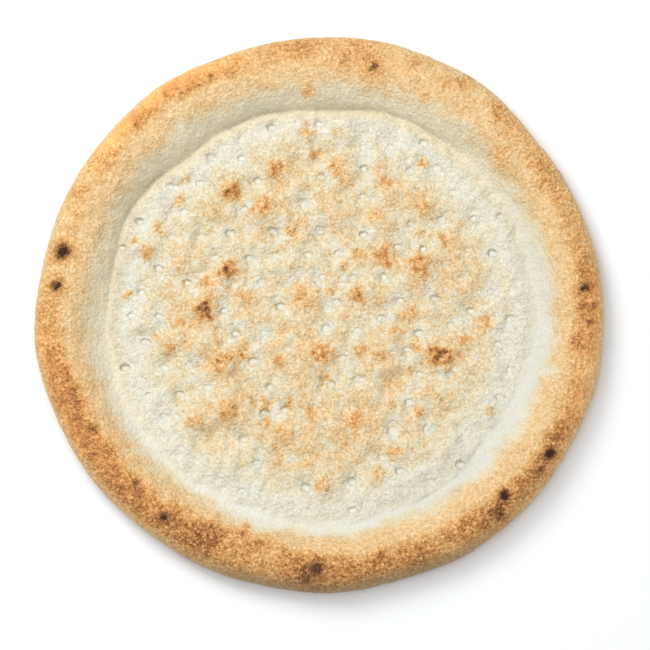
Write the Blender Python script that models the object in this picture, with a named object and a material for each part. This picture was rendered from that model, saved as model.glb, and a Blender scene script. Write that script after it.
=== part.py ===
"""Pizza base: a round, docked flatbread with a raised, puffed rim.

Metres, +Z up. The base lies flat on z = 0 with the middle of its underside at the origin,
and -Y is the side nearest the viewer.
"""

import math
import random

import bpy
import numpy as np
from mathutils import Vector
from mathutils.geometry import delaunay_2d_cdt

MM = 0.001

# The outline and the rim's section
RADIUS = 0.1450  # mean radius of the outline
BELLY_HEIGHT = 0.0065  # where the side is widest
UNDERCUT = 0.0085  # how far the flat underside stays inside the outline
CREST_INSET = 0.0140  # from the outline in to the rim's highest line
CREST_HEIGHT = 0.0179
RIM_WIDTH = 0.0354  # from the outline in to the foot of the rim's inner slope
SIDE_FULLNESS = 2.35  # 2 is an ellipse, more is squarer
SOFT_SLOPE = 1.25  # the inner slope's shape where it runs out softly; more is fuller
FOLDED_SLOPE = 2.4  # and where it folds sharply onto the floor
GROOVE_DEPTH = 0.0009
GROOVE_REACH = 0.0013

# Where the rim's inner slope folds sharply onto the floor, in degrees round the rim:
# (start, end, degrees in which it builds up, degrees in which it dies away, share of a full fold)
FOLDS = ((45, 195, 7, 45, 1.0), (288, 337, 9, 9, 0.6))

# Slow waves round the rim, each as (waves in a turn, height of the wave, phase in degrees)
OUTLINE_WAVES = (
    (2, 1.20 * MM, 66), (3, 0.80 * MM, 132), (4, 0.30 * MM, 40), (5, 0.40 * MM, 64), (6, 0.45 * MM, -46),
)
RIPPLE_WAVES = (
    (8, 0.14 * MM, -8), (9, 0.11 * MM, 133), (10, 0.15 * MM, -160), (11, 0.20 * MM, 137),
    (12, 0.17 * MM, -59), (13, 0.16 * MM, 80), (15, 0.17 * MM, -100), (16, 0.15 * MM, -111),
)
FOOT_WAVES = (
    (2, 0.9 * MM, 35), (3, 1.0 * MM, -70), (5, 0.8 * MM, 20), (9, 0.5 * MM, 100), (14, 0.45 * MM, 0),
    (23, 0.30 * MM, 75),
)
CREST_WAVES = ((1, 0.5 * MM, 60), (2, 0.6 * MM, -30), (5, 0.5 * MM, 80), (8, 0.4 * MM, 10))
INSET_WAVES = ((2, 0.7 * MM, 110), (4, 0.6 * MM, -20), (7, 0.5 * MM, 50))

# Where the foot of the inner slope bulges in over the floor, or draws back from it:
# (degrees round the rim, half width in degrees, how far in)
FOOT_BULGES = ((130, 15, 3.6 * MM), (66, 10, -1.2 * MM), (303, 18, -2.0 * MM))

# Hollows in the rim's inner slope, in millimetres: (x, y, radius, depth)
HOLLOWS = ((72, 87, 11, 1.8),)

# The floor inside the rim
FLOOR_HEIGHT = 0.0052  # dough at the level that the docking pins held it to
PUFF_HEIGHT = 0.0019  # how far it rose between the pins
PUFF_UNEVEN = 0.3  # how much that varies from place to place
PUFF_PATCH = 0.030  # over about this distance
HOLD_REACH = 0.0068  # how far a pin's hold reaches
FLOOR_UNEVEN = ((24 * MM, 0.4 * MM, 4), (9 * MM, 0.2 * MM, 5))  # (wavelength, height, seed)
APRON_SOFT = 0.020  # level dough inside the foot of the rim, where the slope runs out softly
APRON_CREASED = 0.007

# Docking holes: a triangular grid of pins, with some marks closed up again by the rising dough
DOCK_PITCH = 0.0156
DOCK_HEADING = 3  # degrees
DOCK_START = (11 * MM, 4 * MM)
DOCK_STRAY = 0.0014
DOCK_CLOSED = 0.36  # share of marks that closed up
DOCK_CLEAR = 0.0105  # least distance between two marks
DOCK_MARGIN = 0.005  # least distance from the rim's foot to a mark of the grid
PIT_RADIUS = 0.0015
LIP_RADIUS = 0.0023
MARK_STRETCH = 1.15  # a mark is this much longer along X, and shorter along Y, than a round one
CLEAR_DEPTH = 0.0014  # depth of the marks that show best
FAINT_DEPTHS = (0.0004, 0.0010)  # and of the rest, from least to most
DOME_SHARE = 0.25  # how far the middle of a mark has risen again
PIT_FADE = 0.002  # a mark this near the rim's foot is shallower

# The marks that show best, in millimetres
CLEAR_MARKS = (
    (78, -1), (32, -4), (51, -12), (-24, 43), (41, -83), (17, -88), (23, 40), (54, 32),
    (-68, 16), (-83, 24), (-20, 3), (-49, 1), (-43, -11), (-28, -52), (23, 75), (89, 29),
    (-93, 49), (-25, 98), (-102, 35), (-100, -28), (72, -80),
)

# Blisters that stand out of the floor, in millimetres: (x, y, radius, height)
MOUND_FULLNESS = 1.5  # how steeply a mound rises from its edge
BLISTER_CORE = 0.75  # a blister closes the marks within this share of its radius
BLISTERS = (
    (-46, 63, 8, 2.0), (-59, 1, 9, 2.6), (62, -24, 10, 2.6), (1, -22, 10, 1.8), (20, 7, 7, 1.9),
    (30, 49, 6, 1.2), (-89, 32, 7, 1.6), (-47, 21, 9, 2.3), (-9, 8, 9, 1.7), (-39, 9, 8, 1.4),
    (-22, 75, 9, 1.7), (-7, 95, 8, 1.6), (9, 74, 8, 1.5), (9, 95, 7, 1.2), (54, 53, 9, 1.5),
    (-29, 55, 10, 1.7), (33, 28, 10, 1.9), (51, 24, 11, 1.8), (-49, -26, 10, 1.8), (1, -90, 7, 1.6),
    (21, -20, 6, 1.4), (86, -53, 6, 1.3), (-77, -18, 7, 1.3), (31, -85, 7, 1.2), (-18, -64, 7, 1.5),
    (38, -75, 7, 1.4), (19, -58, 10, 1.6), (-64, -57, 7, 1.2), (-47, -52, 9, 1.5), (47, -2, 8, 1.4),
)

# How finely the solid is cut
RIM_STEPS = 132  # round the rim
UNDER_STEPS = 3  # from the flat underside out to the belly
SIDE_STEPS = 5  # from the belly in to the crest
SLOPE_STEPS = 7  # from the crest in to the foot
SLOPE_CLOSER = 0.7  # below 1 sets the steps closer together towards the foot
FLOOR_STEP = 0.0049
FOLD_ROOM = 0.0016  # from the rim's foot to the ring of points just inside it
FOOT_ROOM = 0.0038  # least distance from the rim's foot to a point of the floor's grid
MARK_ROOM = 0.0042  # and from the middle of a docking mark
PIT_SIDES = 6
PIT_ROOM = 0.0008  # least distance from the rim's foot to a point of a docking mark
SAME_PLACE = 1e-7

DOUGH_COLOUR = (0.74, 0.58, 0.36, 1)
DOUGH_ROUGHNESS = 0.85


def waves(table, angle):
    """The sum of a table's slow waves at each angle round the rim."""
    return sum(height * np.cos(count * angle + math.radians(phase)) for count, height, phase in table)


def smooth(share):
    """0 to 1 with level ends."""
    share = np.clip(share, 0, 1)
    return share * share * (3 - 2 * share)


def uneven(x, y, wavelength, seed, count=24):
    """Relief of about unit height: plane waves of roughly one length, in seeded directions."""
    draw = random.Random(seed)
    total = 0
    for _ in range(count):
        heading = draw.uniform(0, math.tau)
        pace = math.tau / (wavelength * draw.uniform(0.7, 1.4))
        phase = draw.uniform(0, math.tau)
        total = total + np.cos(pace * (x * math.cos(heading) + y * math.sin(heading)) + phase)
    return total * math.sqrt(2 / count)


def outline(angle):
    return RADIUS + waves(OUTLINE_WAVES, angle) + waves(RIPPLE_WAVES, angle)


def foot(angle):
    """Radius at which the rim's inner slope meets the floor."""
    radius = RADIUS - RIM_WIDTH + waves(FOOT_WAVES, angle)
    for heading, reach, bulge in FOOT_BULGES:
        away = np.abs((np.degrees(angle) - heading + 180) % 360 - 180)
        radius = radius - bulge * smooth(1 - away / reach)
    return radius


def crest_inset(angle):
    return CREST_INSET + waves(INSET_WAVES, angle)


def crease(angle):
    """1 where the inner slope folds sharply onto the floor, 0 where it runs out softly."""
    heading = np.degrees(angle) % 360
    total = 0
    for start, end, build, fade, share in FOLDS:
        total = total + share * smooth((heading - start) / build) * smooth((end - heading) / fade)
    return total


def rim_height(angle, inset):
    """Height of the rim's top side, a given distance in from the outline."""
    crest = crest_inset(angle)
    crest_height = CREST_HEIGHT + waves(CREST_WAVES, angle)
    width = outline(angle) - foot(angle)
    out = np.clip(1 - inset / crest, 0, 1)
    side = (1 - out**SIDE_FULLNESS) ** (1 / SIDE_FULLNESS)
    down = np.clip((inset - crest) / (width - crest), 0, 1)
    soft = 0.5 + 0.5 * np.cos(math.pi * down**SOFT_SLOPE)
    folded = 1 - down**FOLDED_SLOPE
    slope = soft + (folded - soft) * crease(angle)
    outside = BELLY_HEIGHT + (crest_height - BELLY_HEIGHT) * side
    inside = FLOOR_HEIGHT + (crest_height - FLOOR_HEIGHT) * slope
    return np.where(inset < crest, outside, inside)


def groove(angle, room):
    """Depth of the fold at the foot of the inner slope, a signed distance in from it."""
    return GROOVE_DEPTH * crease(angle) * np.exp(-((room / GROOVE_REACH) ** 2))


def mound(x, y, spot):
    """Height of one round mound of a table (x, y, radius, height), given in millimetres."""
    a, b, radius, height = (size * MM for size in spot)
    near = ((x - a) ** 2 + (y - b) ** 2) / radius**2
    return height * np.clip(1 - near, 0, 1) ** MOUND_FULLNESS


def hollowed(x, y):
    """Depth of the hollows in the rim's inner slope, which stop at its foot."""
    room = foot(np.arctan2(y, x)) - np.hypot(x, y)
    return smooth(-room / GROOVE_REACH) * sum(mound(x, y, spot) for spot in HOLLOWS)


def docking_marks():
    """The pin marks as (x, y, depth): the clear ones, then the docker's grid wherever there is room."""
    draw = random.Random(7)
    marks = [(x * MM, y * MM, CLEAR_DEPTH) for x, y in CLEAR_MARKS]
    heading = math.radians(DOCK_HEADING)
    reach = int(2 * RADIUS / DOCK_PITCH)
    for row in range(-reach, reach + 1):
        for column in range(-reach, reach + 1):
            along = (column + row / 2) * DOCK_PITCH
            across = row * DOCK_PITCH * math.sin(math.radians(60))
            x = DOCK_START[0] + along * math.cos(heading) - across * math.sin(heading)
            y = DOCK_START[1] + along * math.sin(heading) + across * math.cos(heading)
            x += draw.uniform(-DOCK_STRAY, DOCK_STRAY)
            y += draw.uniform(-DOCK_STRAY, DOCK_STRAY)
            depth = draw.uniform(*FAINT_DEPTHS)
            closed = draw.random() < DOCK_CLOSED
            inside = math.hypot(x, y) < foot(math.atan2(y, x)) - DOCK_MARGIN
            crowded = any(math.hypot(x - a, y - b) < DOCK_CLEAR for a, b, _ in marks)
            raised = any(
                math.hypot(x - a * MM, y - b * MM) < BLISTER_CORE * radius * MM
                for a, b, radius, _ in BLISTERS
            )
            if inside and not (closed or crowded or raised):
                marks.append((x, y, depth))
    return marks


def mark_distance(x, y, mark):
    """Distance from the middle of a docking mark, evened out for the mark being an oval."""
    return np.hypot((x - mark[0]) / MARK_STRETCH, (y - mark[1]) * MARK_STRETCH)


def pit_depth(distance, depth):
    """Section of one docking mark: a little pit whose bottom has risen again in the middle."""
    wall = smooth((LIP_RADIUS - distance) / (LIP_RADIUS - PIT_RADIUS))
    dome = DOME_SHARE * np.clip(1 - (distance / PIT_RADIUS) ** 2, 0, 1)
    return depth * (wall - dome)


def held_down(x, y, marks):
    """1 at a docking mark, where the pin held the dough down, falling to 0 between marks."""
    held = sum(np.exp(-((x - a) ** 2 + (y - b) ** 2) / HOLD_REACH**2) for a, b, _ in marks)
    return np.minimum(held, 1)


def floor_height(x, y, marks):
    """Height of the dough inside the foot of the rim."""
    angle = np.arctan2(y, x)
    room = foot(angle) - np.hypot(x, y)
    apron = APRON_SOFT + (APRON_CREASED - APRON_SOFT) * crease(angle)
    free = smooth(room / apron)
    puff = PUFF_HEIGHT * (1 + PUFF_UNEVEN * uneven(x, y, PUFF_PATCH, 3))
    rise = puff * (1 - held_down(x, y, marks))
    rise = rise + sum(height * uneven(x, y, wavelength, seed) for wavelength, height, seed in FLOOR_UNEVEN)
    rise = rise + sum(mound(x, y, spot) for spot in BLISTERS)
    sunk = sum(pit_depth(mark_distance(x, y, mark), mark[2]) for mark in marks)
    return FLOOR_HEIGHT + free * rise - smooth(room / PIT_FADE) * sunk - groove(angle, room)


def rim_rings():
    """The rings of points from the flat underside, out round the belly and in to the foot."""
    angle = np.linspace(0, math.tau, RIM_STEPS, endpoint=False)
    edge = outline(angle)
    crest = crest_inset(angle)
    width = edge - foot(angle)
    rings = []
    for step in range(UNDER_STEPS):
        turn = 0.5 * math.pi * step / UNDER_STEPS
        level = BELLY_HEIGHT * (1 - math.cos(turn))
        rings.append((edge - UNDERCUT * (1 - math.sin(turn)), np.full(RIM_STEPS, level)))
    for step in range(SIDE_STEPS):
        inset = crest * (1 - math.cos(0.5 * math.pi * step / SIDE_STEPS))
        rings.append((edge - inset, rim_height(angle, inset)))
    for step in range(SLOPE_STEPS + 1):
        inset = crest + (width - crest) * (step / SLOPE_STEPS) ** SLOPE_CLOSER
        across = edge - inset
        sunk = groove(angle, inset - width) + hollowed(across * np.cos(angle), across * np.sin(angle))
        rings.append((across, rim_height(angle, inset) - sunk))
    return [
        [(r * math.cos(a), r * math.sin(a), z) for a, r, z in zip(angle, across, height)]
        for across, height in rings
    ]


def clear_of_foot(x, y, room):
    return math.hypot(x, y) < foot(math.atan2(y, x)) - room


def marked(x, y, marks):
    return any(math.hypot(x - a, y - b) < MARK_ROOM for a, b, _ in marks)


def floor_points(marks):
    """Plan points of the floor: ovals round each mark, a ring in the fold and an even grid between."""
    points = []
    for step in range(RIM_STEPS):
        angle = math.tau * (step + 0.5) / RIM_STEPS
        radius = foot(angle) - FOLD_ROOM
        if not marked(radius * math.cos(angle), radius * math.sin(angle), marks):
            points.append((radius * math.cos(angle), radius * math.sin(angle)))
    for a, b, _ in marks:
        points.append((a, b))
        for radius, turn in ((PIT_RADIUS, 0), (LIP_RADIUS, 0.5)):
            for side in range(PIT_SIDES):
                angle = math.tau * (side + turn) / PIT_SIDES
                x = a + radius * math.cos(angle) * MARK_STRETCH
                y = b + radius * math.sin(angle) / MARK_STRETCH
                if clear_of_foot(x, y, PIT_ROOM):
                    points.append((x, y))
    reach = int(RADIUS / FLOOR_STEP)
    for row in range(-reach, reach + 1):
        for column in range(-reach, reach + 1):
            x = (column + 0.5 * (row % 2)) * FLOOR_STEP
            y = row * FLOOR_STEP * math.sin(math.radians(60))
            if clear_of_foot(x, y, FOOT_ROOM) and not marked(x, y, marks):
                points.append((x, y))
    return points


def base_mesh():
    """The whole base as one closed mesh, centred over the origin."""
    marks = docking_marks()
    rings = rim_rings()
    steps = range(RIM_STEPS)
    points = [point for ring in rings for point in ring]
    faces = []
    for band in range(len(rings) - 1):
        low, high = band * RIM_STEPS, (band + 1) * RIM_STEPS
        faces += [(low + i, low + (i + 1) % RIM_STEPS, high + (i + 1) % RIM_STEPS, high + i) for i in steps]

    middle = len(points)
    points.append((0, 0, 0))
    faces += [(middle, (i + 1) % RIM_STEPS, i) for i in steps]

    inner = floor_points(marks)
    plan = [Vector(point[:2]) for point in rings[-1]] + [Vector(point) for point in inner]
    edge = [(i, (i + 1) % RIM_STEPS) for i in steps]
    plan, _, triangles, sources, _, _ = delaunay_2d_cdt(plan, edge, [], 1, SAME_PLACE)
    x, y = np.array(plan).T
    heights = floor_height(x, y, marks)
    foot_ring = (len(rings) - 1) * RIM_STEPS
    place = {}
    for index, source in enumerate(sources):
        on_foot = [i for i in source if i < RIM_STEPS]
        if on_foot:
            place[index] = foot_ring + on_foot[0]
        else:
            place[index] = len(points)
            points.append((x[index], y[index], heights[index]))
    faces += [tuple(place[i] for i in triangle) for triangle in triangles]

    points = np.array(points)
    points[:, :2] -= (points[:, :2].max(axis=0) + points[:, :2].min(axis=0)) / 2
    mesh = bpy.data.meshes.new("pizza_base")
    mesh.from_pydata(points.tolist(), [], faces)
    mesh.shade_smooth()
    return mesh


def dough_material():
    material = bpy.data.materials.new("baked_dough")
    material.use_nodes = True
    shader = material.node_tree.nodes["Principled BSDF"]
    shader.inputs["Base Color"].default_value = DOUGH_COLOUR
    shader.inputs["Roughness"].default_value = DOUGH_ROUGHNESS
    material.diffuse_color = DOUGH_COLOUR
    return material


def main():
    for thing in list(bpy.data.objects):
        bpy.data.objects.remove(thing, do_unlink=True)
    base = bpy.data.objects.new("pizza_base", base_mesh())
    base.data.materials.append(dough_material())
    bpy.context.scene.collection.objects.link(base)


main()
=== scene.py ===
"""Looks of the pizza base: baked dough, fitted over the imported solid, on a pale floor."""

import math
import random

import bmesh
import bpy
import numpy as np
from mathutils import Matrix, Vector


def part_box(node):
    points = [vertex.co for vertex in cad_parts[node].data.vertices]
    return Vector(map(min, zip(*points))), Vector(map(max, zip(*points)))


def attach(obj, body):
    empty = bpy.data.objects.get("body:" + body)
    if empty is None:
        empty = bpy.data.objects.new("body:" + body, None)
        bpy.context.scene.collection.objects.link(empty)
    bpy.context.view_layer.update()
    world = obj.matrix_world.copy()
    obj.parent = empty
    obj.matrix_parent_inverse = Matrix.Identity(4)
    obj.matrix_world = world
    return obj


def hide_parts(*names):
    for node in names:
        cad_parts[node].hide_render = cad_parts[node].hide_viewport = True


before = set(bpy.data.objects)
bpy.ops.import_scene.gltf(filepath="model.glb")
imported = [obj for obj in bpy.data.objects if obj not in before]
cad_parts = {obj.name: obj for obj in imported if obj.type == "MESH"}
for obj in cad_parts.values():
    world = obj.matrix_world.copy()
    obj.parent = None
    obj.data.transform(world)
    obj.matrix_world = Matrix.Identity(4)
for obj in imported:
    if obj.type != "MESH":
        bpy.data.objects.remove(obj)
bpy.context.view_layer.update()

MM = 0.001

# ---- The form: the sizes and functions that the solid is built from ----

RADIUS = 0.1450  # mean radius of the outline
BELLY_HEIGHT = 0.0065  # where the side is widest
UNDERCUT = 0.0085  # how far the flat underside stays inside the outline
CREST_INSET = 0.0140  # from the outline in to the rim's highest line
CREST_HEIGHT = 0.0179
RIM_WIDTH = 0.0354  # from the outline in to the foot of the rim's inner slope
SIDE_FULLNESS = 2.35  # 2 is an ellipse, more is squarer
SOFT_SLOPE = 1.25  # the inner slope's shape where it runs out softly; more is fuller
FOLDED_SLOPE = 2.4  # and where it folds sharply onto the floor
GROOVE_DEPTH = 0.0009
GROOVE_REACH = 0.0013

# Where the rim's inner slope folds sharply onto the floor, in degrees round the rim:
# (start, end, degrees in which it builds up, degrees in which it dies away, share of a full fold)
FOLDS = ((45, 195, 7, 45, 1.0), (288, 337, 9, 9, 0.6))

# Slow waves round the rim, each as (waves in a turn, height of the wave, phase in degrees)
OUTLINE_WAVES = (
    (2, 1.20 * MM, 66), (3, 0.80 * MM, 132), (4, 0.30 * MM, 40), (5, 0.40 * MM, 64), (6, 0.45 * MM, -46),
)
RIPPLE_WAVES = (
    (8, 0.14 * MM, -8), (9, 0.11 * MM, 133), (10, 0.15 * MM, -160), (11, 0.20 * MM, 137),
    (12, 0.17 * MM, -59), (13, 0.16 * MM, 80), (15, 0.17 * MM, -100), (16, 0.15 * MM, -111),
)
FOOT_WAVES = (
    (2, 0.9 * MM, 35), (3, 1.0 * MM, -70), (5, 0.8 * MM, 20), (9, 0.5 * MM, 100), (14, 0.45 * MM, 0),
    (23, 0.30 * MM, 75),
)
CREST_WAVES = ((1, 0.5 * MM, 60), (2, 0.6 * MM, -30), (5, 0.5 * MM, 80), (8, 0.4 * MM, 10))
INSET_WAVES = ((2, 0.7 * MM, 110), (4, 0.6 * MM, -20), (7, 0.5 * MM, 50))

# Where the foot of the inner slope bulges in over the floor, or draws back from it:
# (degrees round the rim, half width in degrees, how far in)
FOOT_BULGES = ((130, 15, 3.6 * MM), (66, 10, -1.2 * MM), (303, 18, -2.0 * MM))

# Hollows in the rim's inner slope, in millimetres: (x, y, radius, depth)
HOLLOWS = ((72, 87, 11, 1.8),)

# The floor inside the rim
FLOOR_HEIGHT = 0.0052  # dough at the level that the docking pins held it to
PUFF_HEIGHT = 0.0019  # how far it rose between the pins
PUFF_UNEVEN = 0.3  # how much that varies from place to place
PUFF_PATCH = 0.030  # over about this distance
HOLD_REACH = 0.0068  # how far a pin's hold reaches
FLOOR_UNEVEN = ((24 * MM, 0.4 * MM, 4), (9 * MM, 0.2 * MM, 5))  # (wavelength, height, seed)
APRON_SOFT = 0.020  # level dough inside the foot of the rim, where the slope runs out softly
APRON_CREASED = 0.007

# Docking holes: a triangular grid of pins, with some marks closed up again by the rising dough
DOCK_PITCH = 0.0156
DOCK_HEADING = 3  # degrees
DOCK_START = (11 * MM, 4 * MM)
DOCK_STRAY = 0.0014
DOCK_CLOSED = 0.36  # share of marks that closed up
DOCK_CLEAR = 0.0105  # least distance between two marks
DOCK_MARGIN = 0.005  # least distance from the rim's foot to a mark of the grid
PIT_RADIUS = 0.0015
LIP_RADIUS = 0.0023
MARK_STRETCH = 1.15  # a mark is this much longer along X, and shorter along Y, than a round one
CLEAR_DEPTH = 0.0014  # depth of the marks that show best
FAINT_DEPTHS = (0.0004, 0.0010)  # and of the rest, from least to most
DOME_SHARE = 0.25  # how far the middle of a mark has risen again
PIT_FADE = 0.002  # a mark this near the rim's foot is shallower

# The marks that show best, in millimetres
CLEAR_MARKS = (
    (78, -1), (32, -4), (51, -12), (-24, 43), (41, -83), (17, -88), (23, 40), (54, 32),
    (-68, 16), (-83, 24), (-20, 3), (-49, 1), (-43, -11), (-28, -52), (23, 75), (89, 29),
    (-93, 49), (-25, 98), (-102, 35), (-100, -28), (72, -80),
)

# Blisters that stand out of the floor, in millimetres: (x, y, radius, height)
MOUND_FULLNESS = 1.5  # how steeply a mound rises from its edge
BLISTER_CORE = 0.75  # a blister closes the marks within this share of its radius
BLISTERS = (
    (-46, 63, 8, 2.0), (-59, 1, 9, 2.6), (62, -24, 10, 2.6), (1, -22, 10, 1.8), (20, 7, 7, 1.9),
    (30, 49, 6, 1.2), (-89, 32, 7, 1.6), (-47, 21, 9, 2.3), (-9, 8, 9, 1.7), (-39, 9, 8, 1.4),
    (-22, 75, 9, 1.7), (-7, 95, 8, 1.6), (9, 74, 8, 1.5), (9, 95, 7, 1.2), (54, 53, 9, 1.5),
    (-29, 55, 10, 1.7), (33, 28, 10, 1.9), (51, 24, 11, 1.8), (-49, -26, 10, 1.8), (1, -90, 7, 1.6),
    (21, -20, 6, 1.4), (86, -53, 6, 1.3), (-77, -18, 7, 1.3), (31, -85, 7, 1.2), (-18, -64, 7, 1.5),
    (38, -75, 7, 1.4), (19, -58, 10, 1.6), (-64, -57, 7, 1.2), (-47, -52, 9, 1.5), (47, -2, 8, 1.4),
)

# ---- The dressed surface ----

# Rings of points, numbered from the middle of the top out to the middle of the underside
NEAR_FOOT = 90  # the floor, up to a little short of the foot
AT_FOOT = 96
AT_CREST = 116
AT_BELLY = 126
AT_UNDERSIDE = 134
NEAR_REACH = 0.003  # how far short of the foot the closer rings start
UNDERSIDE_SHARES = (0.97, 0.86, 0.62, 0.32)  # rings on the flat underside, as shares of its radius
RINGS_CLOSER = 1.2  # above 1, the rings on the inner slope draw closer towards its foot
MARK_REACH = 0.0034  # the mesh is finer this near a docking mark
MARK_CUTS = 2  # new points on each edge there

# The texture map: middle and radius of the top's large disc and of the underside's small one
TOP_MAP = (0.425, 0.42)
UNDERSIDE_MAP = (0.845, 0.15)
MAP_STEPS = 72  # headings at which the length of the skin is taken

# Fine relief, each as (wavelength, height, seed)
RIM_RELIEF = ((14 * MM, 0.30 * MM, 31), (7 * MM, 0.24 * MM, 32), (3.6 * MM, 0.14 * MM, 33))
FLOOR_RELIEF = ((13 * MM, 0.30 * MM, 36), (6.5 * MM, 0.26 * MM, 34), (3.2 * MM, 0.12 * MM, 35))
RIM_RELIEF_FULL = AT_FOOT + 6  # from this ring out, the relief is all the rim's
PALE_CRAGS = 0.30  # share of the rim's relief that pale crust has
BROWNED_CRAGS = 1.2  # and more by browning
OUTLINE_CRAGS = 0.35  # share of that at the outline
OUTLINE_REACH = 0.008  # and how far in from it there is all of it
RELIEF_EASES = 0.0186  # the height above which the relief flattens
RELIEF_ROOM = 0.0012  # and how much further up it can reach

# Browning, 0 pale to 1 dark brown: a side of one tone, a browner band from there up to the crest,
# a golden tone that runs on down the inner slope, and the slope's own tone at its foot
SIDE_TONE = 0.32
BAND_TONE = 0.68
BAND_TONE_WAVES = ((1, 0.14, 115), (2, 0.05, 100), (3, 0.05, 20))
BAND_INSET = 0.0062  # where the band is brownest, in from the outline
BAND_INSET_WAVES = ((1, 0.9 * MM, 95),)
BAND_START = -0.0015  # where it begins, on the side
BAND_END = 0.0145  # where it has half gone
BAND_END_WAVES = ((1, 1.9 * MM, 132), (2, 1.7 * MM, -117), (7, 0.8 * MM, 40))
BAND_SOFT = 0.0080
BAND_PATCHY = 0.32  # how much the tone of a paler band varies from place to place
RIM_PATCHES = ((24 * MM, 0.60, 41), (10 * MM, 0.45, 42))  # (wavelength, strength, seed)
PATCHY_ENDS = 0.16  # how far the patches move the ends of the tones, as a share of their softness
# Where the band reaches further in, or less far: (degrees round the rim, half width, distance)
BAND_REACHES = (
    (77, 16, 3.0 * MM), (120, 15, 1.0 * MM), (168, 14, -1.6 * MM), (207, 9, -0.8 * MM), (253, 22, 2.6 * MM),
    (306, 18, 1.0 * MM), (346, 14, 1.8 * MM),
)
GOLDEN_TONE = 0.31
GOLDEN_END = 0.0265
GOLDEN_END_WAVES = ((1, 2.0 * MM, 130), (2, 0.8 * MM, 180))
GOLDEN_SOFT = 0.0110
SLOPE_TONE = 0.035
WARM_TONE = 0.08  # more of it on the slope's warmest side
WARM_HEADING = 115  # degrees round the rim
WARM_SHARPNESS = 0.8
LOW_BROWN = 0.25  # browner again low on the side, towards the flat underside
LOW_HEIGHTS = (3 * MM, 9 * MM)  # all of that below the first, none above the second
UNDERSIDE_TONE = 0.32
RIM_FADES = 0.010  # how far onto the floor the rim's browning runs out

# Stretches of the rim that are browner or paler: (degrees round the rim, half width, browning)
STRETCHES = (
    (104, 8, -0.10), (121, 15, 0.06), (152, 14, -0.24), (168, 13, -0.24), (199, 12, 0.10), (226, 24, 0.04),
    (256, 10, -0.20), (276, 10, -0.02), (298, 9, -0.08), (326, 12, 0.06), (344, 9, -0.14), (2, 14, 0.12),
    (60, 20, -0.14),
)
STRETCH_FULLNESS = 1.4  # above 1, a stretch keeps its full strength further from its middle

# Painted light and shade: stretches whose colour is made lighter or darker than their browning gives, for
# how the light falls on them:
# (degrees round the rim, half width, start and end in from the outline in millimetres, change)
PAINTED_LIGHT_STRETCHES = (
    (127, 28, 2, 10, 0.30), (199, 22, 3, 14, 0.12), (276, 52, -6, 4.5, -0.46), (335, 95, 28, 41, -0.085),
    (224, 18, 8, 16, 0.12), (350, 26, 2, 10, 0.14), (64, 16, 2, 10, -0.06), (172, 26, 37, 44, -0.11),
    (95, 14, 1, 6, -0.08),
)
PAINTED_LIGHT_SOFT = 7 * MM

# How far the browned places stray, for ragged edges: (wavelength, distance, two seeds)
STRAY = ((7 * MM, 1.2 * MM, 51, 52), (3 * MM, 0.35 * MM, 53, 54))
TOPS_STRAY = 0.7  # share of that for the floor's browned tops
SCORCH_STRAY = 0.25  # and for charred spots

# Charred spots on the rim and the brownest blisters, in millimetres: (x, y, radius, strength)
SCORCHES = (
    (-131, 31, 3.5, 0.97), (-134, 13, 2.6, 0.94), (-15, 138, 1.5, 0.5), (-56, 123, 1.3, 0.6),
    (-79, 114, 1.4, 0.65), (-94, 97, 1.0, 0.75), (-102, 92, 2.5, 0.2), (-113, 75, 4, 0.2),
    (29, 126, 1.9, 0.8), (29, 125, 5, 0.35), (51, 127, 1.6, 0.5), (66, 116, 2, 0.4), (74, 116, 2, 0.45),
    (94, 103, 3.5, 0.3), (117, 64, 3.5, 0.3), (136, 8, 2.0, 0.85), (134, -2, 1.5, 0.7),
    (138, -10, 1.5, 0.7), (-127, -35, 1.6, 0.5), (-121, -55, 1.8, 0.55), (-118, -69, 1.6, 0.5),
    (-101, -82, 2.2, 0.3), (-92, -89, 1.4, 0.65), (-90, -96, 1.8, 0.5), (-77, -107, 1.9, 0.88),
    (-52, -111, 2.5, 0.3), (-36, -111, 1.4, 0.55), (0, -134, 3.8, 0.81), (-5, -138, 3.0, 0.68),
    (117, -77, 2.4, 1.0), (122, -69, 1.4, 0.6), (112, -85, 3, 0.55), (94, -98, 2.5, 1.0),
    (91, -106, 3.4, 0.74), (72, -115, 2, 0.4), (33, -127, 1.5, 0.65), (14, -128, 1.8, 0.4),
    (-123, 64, 4, 0.2), (-5, 115, 2.5, 0.35), (14, 131, 1.5, 0.4), (19, 138, 1.5, 0.4),
    (56, 110, 1.5, 0.4), (78, 119, 1.5, 0.4), (92, 98, 2, 0.4), (114, 71, 2, 0.4),
    (141, -1, 1.5, 0.6), (94, 77, 3.5, 0.25), (-137, -22, 1.5, 0.45), (-114, -75, 1.5, 0.5),
    (-38, -116, 1.5, 0.6), (-29, -120, 1.6, 0.6), (-56, -120, 2, 0.3), (75, -118, 2, 0.35),
    (29, -129, 2, 0.35), (134, -59, 2, 0.35), (-2, -142, 6, 0.4), (62, -24, 3.0, 0.70),
    (-46, 63, 2.4, 0.5), (-59, 1, 2.4, 0.45), (133, 5, 3.5, 0.32),
)
CHAR_POWER = 3  # the power of its strength by which a spot is charred
HALO_TONE = 1.0  # browning round a charred spot
HALO_AREA = 2.4  # area of that over the spot's own
SCORCH_HEIGHTS = (6 * MM, 12 * MM)  # no charring below the first, all of it above the second

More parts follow.
